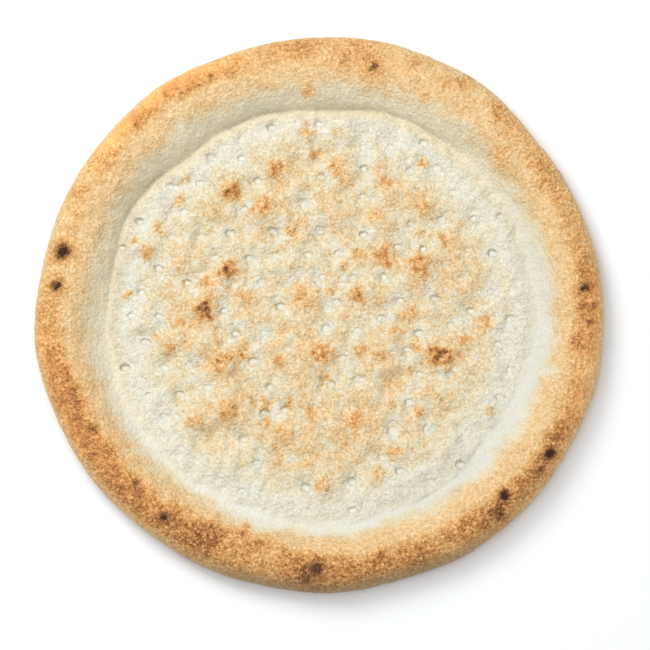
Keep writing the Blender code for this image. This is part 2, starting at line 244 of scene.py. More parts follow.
# More tan tops on the floor, in millimetres
TAN_TOPS = (
    (13, 24), (20, 30), (-95, 38), (-99, 10), (65, 36), (49, -19), (74, -16), (85, -7),
    (40, -11), (-69, 71), (-83, 45), (-58, 17), (-72, 60), (-2, 82), (35, 67), (54, 77),
    (46, -32), (51, -53), (3, -35), (-34, -47), (-16, -48), (-4, -53), (-72, -5), (-15, 42),
    (7, 11), (31, -24), (-21, -26), (-39, -20), (-27, -48), (-27, -58),
)
TAN_RADIUS = 5
TAN_TONE = 0.40
BLISTER_TONE = 0.14  # for a blister a millimetre high, and more by the square of its height

# A browned top is a tip, a tan cap and a faint halo, each as (share of its area, share of its tone)
TIP = (0.20, 0.40)
CAP = (0.42, 0.45)
HALO = (1.0, 0.15)
CAP_FULLNESS = 1.5
RAGGED = (4.5 * MM, 0.42, 47)  # the tone's unevenness within tops, as (wavelength, strength, seed)
RAGGED_CALM = 0.7  # share of that which the brownest tops lack

# The floor between the tops
FLOOR_TONE = 0.105
RISEN_TONE = 0.13  # more where it rose between the marks
FLOOR_PATCHES = ((14 * MM, 0.035, 43), (6 * MM, 0.03, 44))  # (wavelength, tone, seed)
FLOOR_PALEST = 0.042
FLOOR_BROWNEST = 0.92
FLOOR_PALE = 0.036  # how far in from the rim's foot the floor is still paler
PALE_START = 0.002  # and how far up the slope that begins
FLOOR_FADES = 0.004  # how far in from the foot the floor's browning has all of its strength
GRIT_FADES = 0.006  # and its grain

# Docking marks are paler and smooth in the middle, with a little painted sheen there, and have painted
# shade round their walls
MARK_RING = 0.0020
MARK_RING_WIDTH = 0.0005
MARK_PAINTED_SHADE = 0.10
MARK_PAINTED_SHEEN = 0.03
MARK_CALM = 0.8  # share of the browning and the grain that the middle of a mark lacks
MARK_POWER = 0.4  # below 1, a faint mark shows nearly as much of that as a clear one

# Painted shade: a thin dark line along the sharp fold at the foot of the rim's inner slope, where shade
# falls
CREASE_PAINTED_SHADE = 0.24
CREASE_WIDTH = 0.0008
CREASE_BREAKS = (22 * MM, 0.6, 48)  # where the line gives out: (wavelength, strength, seed)

# How strong the finest grain is: a pale floor's share, and more by browning, with less of it on the
# floor and where painted light makes the crust lighter
FLOOR_GRIT = 0.22
BROWNED_GRIT = 1.3
FLOOR_CALM = 0.25
LIGHT_CALM = 2.4

# The finest look of the dough: the sizes of what shows, how strong it is, and for some of it the
# range of its noise over which it comes in
BLOTCH_SIZES = (22 * MM, 7 * MM)  # on the underside
BLOTCH_STRENGTH = 1.2
GRAIN_SIZE = 1.2 * MM
GRAIN_LEAST = 0.07
GRAIN_GAIN = 1.15  # more by browning
GRAIN_TURN = 1.15  # and less again towards this browning
MOTTLE_SIZE = 3.4 * MM
MOTTLE_STRENGTH = 0.6
FRECKLE_SIZE = 1.9 * MM
FRECKLE_RANGE = (0.54, 0.70)
FRECKLE_TONES = (0.50, 0.80)  # none below the first browning, all of them above the second
FRECKLE_STRENGTH = 0.13
PORE_SIZE = 1.3 * MM
# Glints are painted highlights: pale specks mixed into the colour on the high points of the grain
GLINT_RANGE = (0.60, 0.74)
GLINT_STRENGTH = 0.36
GLINT_TURN = 1.1  # fewer of them towards this browning
DIP_RANGE = (0.30, 0.54)
SPECKLE_SIZE = 1.8 * MM
SPECKLE_NOISE = (3.0, 0.75)  # detail and roughness
SPECKLE_STRENGTH = 1.8
CHAR_CRUMBLED = 1.6
CHAR_RANGE = (0.03, 0.55)
CHAR_MOST = 0.94
CRUMB_SIZE = 1.9 * MM
CRUMB_DEPTH = 0.4
PORE_DEPTH = 0.4
GRIT_DEPTH = 1.4  # more by the grain's strength
BUMP_HEIGHT = 0.0009
ROUGHNESS = (0.1, 0.7, 0.75, 0.50)  # a pale and a brown tone, then the roughness of each
SHINE = (0.0, 0.9, 0.45, 0.10)  # no and full charring, then the shine of each

# Colours, linear: pale crumb to dark brown, by browning
DOUGH_RAMP = (
    (0.00, (0.697, 0.708, 0.645)),
    (0.13, (0.712, 0.632, 0.438)),
    (0.30, (0.756, 0.520, 0.256)),
    (0.45, (0.770, 0.460, 0.184)),
    (0.60, (0.735, 0.394, 0.133)),
    (0.75, (0.660, 0.314, 0.086)),
    (0.88, (0.520, 0.216, 0.054)),
    (1.00, (0.240, 0.092, 0.034)),
)
DIP_TINT = (0.47, 0.36, 0.16)  # what a dip in the grain leaves of the colour
# the colour of the painted highlights (glints)
GLINT_COLOUR = (0.93, 0.89, 0.78)
CHAR_COLOUR = (0.042, 0.020, 0.013)
FLOOR_COLOUR = (0.853, 0.876, 0.898)
FLOOR_SPECK = 0.995  # how light the specks in it are
SKY_COLOUR = (1, 1, 1)

# The room
FLOOR_SIZE = 6.0
FLOOR_SPECK_SIZE = 0.004
FLOOR_SPECK_RANGE = (0.3, 0.7)
FLOOR_ROUGHNESS = 0.9
FLOOR_SHINE = 0.1
LIGHT_HEADING = 129  # degrees, where the light comes from
LIGHT_RISE = 47
LIGHT_DISTANCE = 1.6
LIGHT_SIZE = 0.9
LIGHT_POWER = 14.5
TOP_HEIGHT = 2.0  # a wide soft light overhead
TOP_SIZE = 2.6
TOP_POWER = 19.5
SKY_STRENGTH = 0.52

CAMERA_LEAN = 11.5  # degrees off straight down
CAMERA_HEADING = 292  # the side that it leans out over
CAMERA_DISTANCE = 1.55
CAMERA_LENS = 168
CAMERA_SIGHT = 20  # how far it sees
CAMERA_AIM = (0.0041, -0.0081, 0.010)


# ---- Form functions ----


def waves(table, angle):
    """The sum of a table's slow waves at each angle round the rim."""
    return sum(height * np.cos(count * angle + math.radians(phase)) for count, height, phase in table)


def smooth(share):
    """0 to 1 with level ends."""
    share = np.clip(share, 0, 1)
    return share * share * (3 - 2 * share)


def uneven(x, y, wavelength, seed, count=24):
    """Relief of about unit height: plane waves of roughly one length, in seeded directions."""
    draw = random.Random(seed)
    total = 0
    for _ in range(count):
        heading = draw.uniform(0, math.tau)
        pace = math.tau / (wavelength * draw.uniform(0.7, 1.4))
        phase = draw.uniform(0, math.tau)
        total = total + np.cos(pace * (x * math.cos(heading) + y * math.sin(heading)) + phase)
    return total * math.sqrt(2 / count)


def outline(angle):
    return RADIUS + waves(OUTLINE_WAVES, angle) + waves(RIPPLE_WAVES, angle)


def foot(angle):
    """Radius at which the rim's inner slope meets the floor."""
    radius = RADIUS - RIM_WIDTH + waves(FOOT_WAVES, angle)
    for heading, reach, bulge in FOOT_BULGES:
        away = np.abs((np.degrees(angle) - heading + 180) % 360 - 180)
        radius = radius - bulge * smooth(1 - away / reach)
    return radius


def crest_inset(angle):
    return CREST_INSET + waves(INSET_WAVES, angle)


def crease(angle):
    """1 where the inner slope folds sharply onto the floor, 0 where it runs out softly."""
    heading = np.degrees(angle) % 360
    total = 0
    for start, end, build, fade, share in FOLDS:
        total = total + share * smooth((heading - start) / build) * smooth((end - heading) / fade)
    return total


def rim_height(angle, inset):
    """Height of the rim's top side, a given distance in from the outline."""
    crest = crest_inset(angle)
    crest_height = CREST_HEIGHT + waves(CREST_WAVES, angle)
    width = outline(angle) - foot(angle)
    out = np.clip(1 - inset / crest, 0, 1)
    side = (1 - out**SIDE_FULLNESS) ** (1 / SIDE_FULLNESS)
    down = np.clip((inset - crest) / (width - crest), 0, 1)
    soft = 0.5 + 0.5 * np.cos(math.pi * down**SOFT_SLOPE)
    folded = 1 - down**FOLDED_SLOPE
    slope = soft + (folded - soft) * crease(angle)
    outside = BELLY_HEIGHT + (crest_height - BELLY_HEIGHT) * side
    inside = FLOOR_HEIGHT + (crest_height - FLOOR_HEIGHT) * slope
    return np.where(inset < crest, outside, inside)


def groove(angle, room):
    """Depth of the fold at the foot of the inner slope, a signed distance in from it."""
    return GROOVE_DEPTH * crease(angle) * np.exp(-((room / GROOVE_REACH) ** 2))


def mound(x, y, spot):
    """Height of one round mound of a table (x, y, radius, height), given in millimetres."""
    a, b, radius, height = (size * MM for size in spot)
    near = ((x - a) ** 2 + (y - b) ** 2) / radius**2
    return height * np.clip(1 - near, 0, 1) ** MOUND_FULLNESS


def hollowed(x, y):
    """Depth of the hollows in the rim's inner slope, which stop at its foot."""
    room = foot(np.arctan2(y, x)) - np.hypot(x, y)
    return smooth(-room / GROOVE_REACH) * sum(mound(x, y, spot) for spot in HOLLOWS)


def docking_marks():
    """The pin marks as (x, y, depth): the clear ones, then the docker's grid wherever there is room."""
    draw = random.Random(7)
    marks = [(x * MM, y * MM, CLEAR_DEPTH) for x, y in CLEAR_MARKS]
    heading = math.radians(DOCK_HEADING)
    reach = int(2 * RADIUS / DOCK_PITCH)
    for row in range(-reach, reach + 1):
        for column in range(-reach, reach + 1):
            along = (column + row / 2) * DOCK_PITCH
            across = row * DOCK_PITCH * math.sin(math.radians(60))
            x = DOCK_START[0] + along * math.cos(heading) - across * math.sin(heading)
            y = DOCK_START[1] + along * math.sin(heading) + across * math.cos(heading)
            x += draw.uniform(-DOCK_STRAY, DOCK_STRAY)
            y += draw.uniform(-DOCK_STRAY, DOCK_STRAY)
            depth = draw.uniform(*FAINT_DEPTHS)
            closed = draw.random() < DOCK_CLOSED
            inside = math.hypot(x, y) < foot(math.atan2(y, x)) - DOCK_MARGIN
            crowded = any(math.hypot(x - a, y - b) < DOCK_CLEAR for a, b, _ in marks)
            raised = any(
                math.hypot(x - a * MM, y - b * MM) < BLISTER_CORE * radius * MM
                for a, b, radius, _ in BLISTERS
            )
            if inside and not (closed or crowded or raised):
                marks.append((x, y, depth))
    return marks


def mark_distance(x, y, mark):
    """Distance from the middle of a docking mark, evened out for the mark being an oval."""
    return np.hypot((x - mark[0]) / MARK_STRETCH, (y - mark[1]) * MARK_STRETCH)


def pit_depth(distance, depth):
    """Section of one docking mark: a little pit whose bottom has risen again in the middle."""
    wall = smooth((LIP_RADIUS - distance) / (LIP_RADIUS - PIT_RADIUS))
    dome = DOME_SHARE * np.clip(1 - (distance / PIT_RADIUS) ** 2, 0, 1)
    return depth * (wall - dome)


def held_down(x, y, marks):
    """1 at a docking mark, where the pin held the dough down, falling to 0 between marks."""
    held = sum(np.exp(-((x - a) ** 2 + (y - b) ** 2) / HOLD_REACH**2) for a, b, _ in marks)
    return np.minimum(held, 1)


def floor_height(x, y, marks):
    """Height of the dough inside the foot of the rim."""
    angle = np.arctan2(y, x)
    room = foot(angle) - np.hypot(x, y)
    apron = APRON_SOFT + (APRON_CREASED - APRON_SOFT) * crease(angle)
    free = smooth(room / apron)
    puff = PUFF_HEIGHT * (1 + PUFF_UNEVEN * uneven(x, y, PUFF_PATCH, 3))
    rise = puff * (1 - held_down(x, y, marks))
    rise = rise + sum(height * uneven(x, y, wavelength, seed) for wavelength, height, seed in FLOOR_UNEVEN)
    rise = rise + sum(mound(x, y, spot) for spot in BLISTERS)
    sunk = sum(pit_depth(mark_distance(x, y, mark), mark[2]) for mark in marks)
    return FLOOR_HEIGHT + free * rise - smooth(room / PIT_FADE) * sunk - groove(angle, room)


# ---- The mesh ----


def share_between(ring, start, end):
    return np.clip((ring - start) / (end - start), 0, 1)


def ring_radius(ring, angle):
    """Plan radius of a ring of points, from the middle of the top out to the flat underside's edge."""
    edge = outline(angle)
    crest_radius = edge - crest_inset(angle)
    near = foot(angle) - NEAR_REACH
    radius = near * share_between(ring, 0, NEAR_FOOT)
    radius = radius + NEAR_REACH * share_between(ring, NEAR_FOOT, AT_FOOT)
    up_slope = share_between(ring, AT_FOOT, AT_CREST) ** RINGS_CLOSER
    radius = radius + (crest_radius - foot(angle)) * up_slope
    side = np.sin(0.5 * math.pi * share_between(ring, AT_CREST, AT_BELLY))
    radius = radius + crest_inset(angle) * side
    under = np.cos(0.5 * math.pi * share_between(ring, AT_BELLY, AT_UNDERSIDE))
    return radius - UNDERCUT * (1 - under)


def disc_grid(rings):
    """A square grid wrapped onto the disc: each point's ring and heading, and the quads."""
    span = np.arange(-rings, rings + 1)
    a, b = (part.astype(float) for part in np.meshgrid(span, span, indexing="ij"))
    wide = np.abs(a) > np.abs(b)
    reach = np.where(wide, a, b)
    other = np.where(wide, b, a)
    tilt = 0.25 * math.pi * np.divide(other, reach, out=np.zeros_like(reach), where=reach != 0)
    turn = np.where(wide, tilt, 0.5 * math.pi - tilt)
    heading = np.arctan2(reach * np.sin(turn), reach * np.cos(turn))
    side = 2 * rings + 1
    index = np.arange(side * side).reshape(side, side)
    quads = np.stack([index[:-1, :-1], index[1:, :-1], index[1:, 1:], index[:-1, 1:]], axis=-1)
    return np.abs(reach).ravel(), heading.ravel(), quads.reshape(-1, 4)


def base_points():
    """Ring, heading and plan radius of every point, and the faces, of the whole skin."""
    ring, heading, quads = disc_grid(AT_BELLY)
    edge = np.flatnonzero(ring == AT_BELLY)
    edge = edge[np.argsort(heading[edge])]
    rim_heading = heading[edge]
    faces = quads.tolist()
    loop = edge.tolist()
    count = len(loop)
    rings, headings, radii = [ring], [heading], [ring_radius(ring, heading)]
    start = len(ring)
    lower = [
        ring_radius(np.full(count, number), rim_heading)
        for number in range(AT_BELLY + 1, AT_UNDERSIDE + 1)
    ]
    flat = [lower[-1] * share for share in UNDERSIDE_SHARES]
    for number, across in enumerate(lower + flat, AT_BELLY + 1):
        rings.append(np.full(count, float(number)))
        headings.append(rim_heading)
        radii.append(across)
        fresh = list(range(start, start + count))
        for i in range(count):
            after = (i + 1) % count
            faces.append((loop[after], loop[i], fresh[i], fresh[after]))
        loop = fresh
        start += count
    rings.append(np.array([AT_UNDERSIDE + 1.0 + len(UNDERSIDE_SHARES)]))
    headings.append(np.zeros(1))
    radii.append(np.zeros(1))
    faces += [(loop[(i + 1) % count], loop[i], start) for i in range(count)]
    return np.concatenate(rings), np.concatenate(headings), np.concatenate(radii), faces


def refine_marks(mesh, marks):
    """Cuts the mesh finer round each docking mark."""
    work = bmesh.new()
    work.from_mesh(mesh)
    layer = work.verts.layers.float["ring"]
    place = np.array([vertex.co[:2] for vertex in work.verts])
    top = np.array([vertex[layer] for vertex in work.verts]) < AT_FOOT
    near = np.zeros(len(place), bool)
    for x, y, _ in marks:
        near |= np.hypot(place[:, 0] - x, place[:, 1] - y) < MARK_REACH
    near &= top
    edges = [edge for edge in work.edges if near[edge.verts[0].index] and near[edge.verts[1].index]]
    bmesh.ops.subdivide_edges(work, edges=edges, cuts=MARK_CUTS, use_grid_fill=True)
    work.to_mesh(mesh)
    work.free()


def read(mesh, attribute):
    values = np.empty(len(mesh.vertices), np.float32)
    mesh.attributes[attribute].data.foreach_get("value", values)
    return values.astype(float)


def write(mesh, attribute, values):
    if attribute not in mesh.attributes:
        mesh.attributes.new(attribute, "FLOAT", "POINT")
    mesh.attributes[attribute].data.foreach_set("value", np.ascontiguousarray(values, np.float32))


def positions(mesh):
    values = np.empty(len(mesh.vertices) * 3, np.float32)
    mesh.vertices.foreach_get("co", values)
    return values.reshape(-1, 3).astype(float)


def lower_height(ring):
    """Height of a ring of the rim's lower side, from its widest line down to the flat underside."""
    turn = 0.5 * math.pi * (1 - share_between(ring, AT_BELLY, AT_UNDERSIDE))
    return BELLY_HEIGHT * (1 - np.cos(turn))


def set_heights(mesh, marks):
    """Lifts the flat plan to the true form."""
    points = positions(mesh)
    ring = read(mesh, "ring")
    x, y = points[:, 0], points[:, 1]
    angle = np.arctan2(y, x)
    radius = np.hypot(x, y)
    edge, rim_foot = outline(angle), foot(angle)
    rim = rim_height(angle, np.maximum(edge - radius, 0)) - groove(angle, rim_foot - radius)
    rim = rim - hollowed(x, y)
    height = np.where(radius < rim_foot, floor_height(x, y, marks), rim)
    points[:, 2] = np.where(ring > AT_BELLY, lower_height(ring), height)
    mesh.vertices.foreach_set("co", points.astype(np.float32).ravel())
    mesh.update()


def crags(points, wavelength, seed, count=26):
    """Relief of about unit height over any surface: plane waves in seeded directions."""
    draw = random.Random(seed)
    total = np.zeros(len(points))
    for _ in range(count):
        way = Vector([draw.gauss(0, 1) for _ in range(3)]).normalized()
        pace = math.tau / (wavelength * draw.uniform(0.7, 1.4))
        total += np.cos(pace * (points @ np.array(way)) + draw.uniform(0, math.tau))
    return total * math.sqrt(2 / count)


def roughen(mesh):
    """Adds the fine relief, along the surface's own normals."""
    points = positions(mesh)
    ring = read(mesh, "ring")
    normals = np.empty(len(points) * 3, np.float32)
    mesh.vertices.foreach_get("normal", normals)
    normals = normals.reshape(-1, 3).astype(float)
    on_rim = smooth(share_between(ring, NEAR_FOOT, RIM_RELIEF_FULL))
    under = smooth(share_between(ring, AT_BELLY, AT_UNDERSIDE))
    relief = np.zeros(len(points))
    inset = RADIUS - np.hypot(points[:, 0], points[:, 1])
    crusty = PALE_CRAGS + BROWNED_CRAGS * read(mesh, "toast")
    crusty = crusty * (OUTLINE_CRAGS + (1 - OUTLINE_CRAGS) * smooth(inset / OUTLINE_REACH))
    for wavelength, height, seed in RIM_RELIEF:
        relief += on_rim * (1 - under) * crusty * height * crags(points, wavelength, seed)
    for wavelength, height, seed in FLOOR_RELIEF:
        relief += (1 - on_rim) * height * crags(points, wavelength, seed)
    points += normals * relief[:, None]
    over = np.maximum(points[:, 2] - RELIEF_EASES, 0) / RELIEF_ROOM
    points[:, 2] += RELIEF_ROOM * (1 - np.exp(-over) - over)
    mesh.vertices.foreach_set("co", points.astype(np.float32).ravel())
    mesh.update()


def skin_lengths():
    """Mean distance along the skin from the middle of the top out to each ring."""
    angle = np.linspace(0, math.tau, MAP_STEPS, endpoint=False)
    lengths, last = [0.0], None
    for number in range(AT_UNDERSIDE + 1):
        across = ring_radius(np.full(MAP_STEPS, number), angle)
        rim = rim_height(angle, np.maximum(outline(angle) - across, 0))
        level = np.where(across < foot(angle), FLOOR_HEIGHT, rim)
        if number > AT_BELLY:
            level = np.full(MAP_STEPS, lower_height(number))
        if last is not None:
            lengths.append(lengths[-1] + np.hypot(across - last[0], level - last[1]).mean())
        last = (across, level)
    return np.array(lengths)


def add_map(mesh):
    """One texture map: the top and sides as a large disc, the flat underside as a small one."""
    points = positions(mesh)
    heading = np.arctan2(points[:, 1], points[:, 0])
    way = np.stack([np.cos(heading), np.sin(heading)], axis=1)
    lengths = skin_lengths()
    reach = np.interp(read(mesh, "ring"), range(AT_UNDERSIDE + 1), lengths / lengths[-1])
    top = TOP_MAP[0] + TOP_MAP[1] * reach[:, None] * way
    flat_reach = np.hypot(points[:, 0], points[:, 1]) / RADIUS
    below = UNDERSIDE_MAP[0] + UNDERSIDE_MAP[1] * flat_reach[:, None] * way
    corner = np.empty(len(mesh.loops), np.int32)
    mesh.loops.foreach_get("vertex_index", corner)
    flat = np.zeros(len(mesh.loops), bool)
    for face in mesh.polygons:
        if not face.use_smooth:
            flat[face.loop_start : face.loop_start + face.loop_total] = True
    uv = np.where(flat[:, None], below[corner], top[corner])
    mesh.uv_layers.new(name="OFBake").data.foreach_set("uv", uv.astype(np.float32).ravel())


# ---- Browning ----


def strayed(x, y, share=1):
    """Places moved about a little, so that what is drawn there gets a ragged edge."""
    dx = sum(height * uneven(x, y, wavelength, seed) for wavelength, height, seed, _ in STRAY)
    dy = sum(height * uneven(x, y, wavelength, seed) for wavelength, height, _, seed in STRAY)
    return x + share * dx, y + share * dy


def patches(table, x, y):
    """The sum of a table's patches, each as (wavelength, strength, seed)."""
    return sum(strength * uneven(x, y, wavelength, seed) for wavelength, strength, seed in table)


def near_heading(angle, heading, reach):
    """1 round one heading of the rim, falling to 0 at a half width from it, in degrees."""
    away = np.abs((np.degrees(angle) - heading + 180) % 360 - 180)
    return smooth(STRETCH_FULLNESS * (1 - away / reach))


def around(table, angle):
    """What some stretches of the rim have over the rest, or lack."""
    return sum(change * near_heading(angle, heading, reach) for heading, reach, change in table)


def rim_toast(x, y, z, angle, inset):
    """Browning of the rim, from its side over the crest and down the inner slope."""
    patch = patches(RIM_PATCHES, x, y)
    peak = BAND_INSET + waves(BAND_INSET_WAVES, angle)
    rising = smooth((inset - BAND_START) / (peak - BAND_START))
    band_end = BAND_END + waves(BAND_END_WAVES, angle) + around(BAND_REACHES, angle)
    falling = smooth(0.5 + (band_end - inset) / BAND_SOFT + PATCHY_ENDS * patch)
    golden_end = GOLDEN_END + waves(GOLDEN_END_WAVES, angle)
    golden = smooth(0.5 + (golden_end - inset) / GOLDEN_SOFT + PATCHY_ENDS * patch)
    warm = smooth(0.5 + WARM_SHARPNESS * np.cos(angle - math.radians(WARM_HEADING)))
    slope = SLOPE_TONE + WARM_TONE * warm
    tail = slope + (GOLDEN_TONE - slope) * golden
    band = BAND_TONE + waves(BAND_TONE_WAVES, angle) + around(STRETCHES, angle)
    top = tail + (band * (1 + BAND_PATCHY * (1 - band) * patch) - tail) * falling
    low = (1 - smooth(share_between(z, *LOW_HEIGHTS))) * (inset < CREST_INSET)
    return SIDE_TONE + (top - SIDE_TONE) * rising + LOW_BROWN * low


def painted_light_and_shade(angle, inset):
    """Painted light and shade: how much lighter or darker the crust's colour is made, 1 as usual."""
    total = 1
    for heading, reach, start, end, change in PAINTED_LIGHT_STRETCHES:
        begun = smooth(0.5 + (inset - start * MM) / PAINTED_LIGHT_SOFT)
        inside = begun * smooth(0.5 + (end * MM - inset) / PAINTED_LIGHT_SOFT)
        total = total + change * near_heading(angle, heading, reach) * inside
    return total


def mark_fields(x, y, marks):
    """How far each point is down a docking mark, 0 to 1, and on the ring round one."""
    middle, ring = 0, 0
    for mark in marks:
        distance = mark_distance(x, y, mark)
        show = mark[2] / CLEAR_DEPTH
        middle = middle + show**MARK_POWER * np.exp(-((distance / PIT_RADIUS) ** 4))
        ring = ring + show * np.exp(-(((distance - MARK_RING) / MARK_RING_WIDTH) ** 2))
    return np.minimum(middle, 1), ring


def spot_tone(x, y, spot):
    """1 at the middle of a browned top, falling through a tan cap to a faint halo."""
    a, b, radius = (size * MM for size in spot[:3])
    near = ((x - a) ** 2 + (y - b) ** 2) / radius**2
    tip, cap, halo = (np.clip(1 - near / area, 0, 1) for area, _ in (TIP, CAP, HALO))
    return TIP[1] * tip + CAP[1] * smooth(CAP_FULLNESS * cap) + HALO[1] * halo


def floor_toast(x, y, marks, room):
    """Browning of the floor: the tops that stood nearest the heat."""
    risen = 1 - held_down(x, y, marks)
    tone = FLOOR_TONE + RISEN_TONE * risen + patches(FLOOR_PATCHES, x, y)
    tone = np.maximum(tone * smooth((room + PALE_START) / FLOOR_PALE), FLOOR_PALEST)
    ragged = patches((RAGGED,), x, y)
    x, y = strayed(x, y, TOPS_STRAY)
    tops = sum(BLISTER_TONE * spot[3] ** 2 * spot_tone(x, y, spot) for spot in BLISTERS)
    tops = tops + sum(TAN_TONE * spot_tone(x, y, (a, b, TAN_RADIUS)) for a, b in TAN_TOPS)
    ragged = 1 + ragged * (1 - RAGGED_CALM * np.minimum(tops, 1))
    return np.minimum(tone + ragged * tops, FLOOR_BROWNEST) * smooth(room / FLOOR_FADES)


def scorch(x, y, z):
    """Charring and the brown halo round it, each 0 to 1."""
    x, y = strayed(x, y, SCORCH_STRAY)
    char, halo = np.zeros(len(x)), np.zeros(len(x))
    for a, b, radius, strength in SCORCHES:
        near = ((x - a * MM) ** 2 + (y - b * MM) ** 2) / (radius * MM) ** 2
        char = np.maximum(char, strength**CHAR_POWER * np.exp(-near))
        halo = np.maximum(halo, strength * np.exp(-near / HALO_AREA))
    above = smooth(share_between(z, *SCORCH_HEIGHTS))
    return char * above, halo * above


def grain_strength(toast, lightness, room):
    """How strong the finest grain is."""
    on_floor = smooth(room / GRIT_FADES)
    grit = FLOOR_GRIT * on_floor + BROWNED_GRIT * toast * (1 - FLOOR_CALM * on_floor)
    return grit * (1 - LIGHT_CALM * np.maximum(lightness - 1, 0))


def painted_crease_shade(x, y, angle, room):
    """Painted shade: how much darker the dough is made in the broken line along the sharp fold."""
    broken = smooth(0.5 + patches((CREASE_BREAKS,), x, y))
    return CREASE_PAINTED_SHADE * crease(angle) * broken * np.exp(-((room / CREASE_WIDTH) ** 2))


def brown(mesh, marks):
    """Writes what the dough's material reads at each point."""
    x, y, z = positions(mesh).T
    angle = np.arctan2(y, x)
    radius = np.hypot(x, y)
    inset = outline(angle) - radius
    room = foot(angle) - radius
    under = smooth(share_between(read(mesh, "ring"), AT_BELLY, AT_UNDERSIDE))
    rim = rim_toast(x, y, z, angle, inset) * (1 - smooth(room / RIM_FADES))
    toast = rim + floor_toast(x, y, marks, room)
    char, halo = scorch(x, y, z)
    toast = np.clip(toast + np.maximum(HALO_TONE - toast, 0) * halo, 0, 1)
    toast = toast + (UNDERSIDE_TONE - toast) * under
    # painted light and shade from the stretches, none on the underside
    lightness = 1 + (painted_light_and_shade(angle, inset) - 1) * (1 - under)
    line = painted_crease_shade(x, y, angle, room) * (1 - under)
    middle, wall = (field * (1 - under) for field in mark_fields(x, y, marks))
    calm = 1 - MARK_CALM * middle
    write(mesh, "toast", toast * calm)
    write(mesh, "char", char)
    write(mesh, "under", under)
    write(mesh, "grit", grain_strength(toast, lightness, room) * calm)
    # painted light and shade, with a little painted sheen in the marks' middles and painted shade round
    # their walls and along the fold
    write(mesh, "painted_light_and_shade", lightness + MARK_PAINTED_SHEEN * middle - MARK_PAINTED_SHADE * wall - line)


# ---- Materials ----


class Shader:
    """Short ways to add and link a material's nodes."""

    def __init__(self, name):
        self.material = bpy.data.materials.new(name)
        self.material.use_nodes = True
        self.tree = self.material.node_tree
        self.surface = self.tree.nodes["Principled BSDF"]
        self.place = self.add("ShaderNodeTexCoord").outputs["Object"]

    def add(self, kind, **settings):
        node = self.tree.nodes.new(kind)
        for name, value in settings.items():
            setattr(node, name, value)
        return node

    def link(self, out, into):
        self.tree.links.new(out, into)

    def attribute(self, name):
        return self.add("ShaderNodeAttribute", attribute_name=name).outputs["Fac"]

    def texture(self, kind, size):
        """A texture node over the object whose features are about a given size in metres."""
        node = self.add(kind)
        node.inputs["Scale"].default_value = 1 / size
        self.link(self.place, node.inputs["Vector"])
        return node

    def noise(self, size, detail=2.0, roughness=0.6):
        """Noise from 0 to 1."""
        node = self.texture("ShaderNodeTexNoise", size)
        node.inputs["Detail"].default_value = detail
        node.inputs["Roughness"].default_value = roughness
        return node.outputs["Fac"]

    def crumbs(self, size):
        """Distance from the nearest of many scattered points, 0 at each."""
        return self.texture("ShaderNodeTexVoronoi", size).outputs["Distance"]

    def math(self, operation, first, second, third=None, clamp=False):
        node = self.add("ShaderNodeMath", operation=operation, use_clamp=clamp)
        for socket, value in zip(node.inputs, (first, second, third)):
            if value is None:
                continue
            if isinstance(value, (int, float)):
                socket.default_value = value
            else:
                self.link(value, socket)
        return node.outputs[0]

    def about_zero(self, noise):
        """Noise from -0.5 to 0.5."""
        return self.math("SUBTRACT", noise, 0.5)

    def scaled(self, value, low, high, to_low=0.0, to_high=1.0):
        """A value stretched from one range onto another, and kept within it."""
        node = self.add("ShaderNodeMapRange")
        for name, number in zip(("From Min", "From Max", "To Min", "To Max"), (low, high, to_low, to_high)):
            node.inputs[name].default_value = number
        self.link(value, node.inputs["Value"])
        return node.outputs["Result"]

    def ramp(self, value, stops):
        node = self.add("ShaderNodeValToRGB")
        elements = node.color_ramp.elements
        while len(elements) < len(stops):
            elements.new(0.5)
        for element, (place, colour) in zip(elements, stops):
            element.position = place
            element.color = (*colour, 1)
        self.link(value, node.inputs["Fac"])
        return node.outputs["Color"]

    def mix(self, share, first, second):
        node = self.add("ShaderNodeMix", data_type="RGBA")
        self.link(share, node.inputs["Factor"])
        for socket, value in ((node.inputs[6], first), (node.inputs[7], second)):
            if isinstance(value, tuple):
                socket.default_value = (*value, 1)
            else:
                self.link(value, socket)
        return node.outputs[2]

    def faded(self, colour, power):
        """A colour raised to a power: below 1 lighter and paler, above 1 darker and richer."""
        node = self.add("ShaderNodeGamma")
        self.link(colour, node.inputs["Color"])
        self.link(power, node.inputs["Gamma"])
        return node.outputs["Color"]

    def tinted(self, colour, tint, lightness):
        """A colour times a tint, made lighter or darker as a whole."""
        product = self.add("ShaderNodeVectorMath", operation="MULTIPLY")
        self.link(colour, product.inputs[0])
        self.link(tint, product.inputs[1])
        scaled = self.add("ShaderNodeVectorMath", operation="SCALE")
        self.link(product.outputs[0], scaled.inputs[0])
        self.link(lightness, scaled.inputs["Scale"])
        return scaled.outputs[0]


def blotched(shader, toast):
    """Browning with the underside's blotches."""
    large, small = (shader.noise(size) for size in BLOTCH_SIZES)
    blotches = shader.math("ADD", shader.about_zero(large), shader.about_zero(small))
    blotches = shader.math("MULTIPLY", blotches, shader.attribute("under"))
    return shader.math("MULTIPLY_ADD", blotches, BLOTCH_STRENGTH, toast)


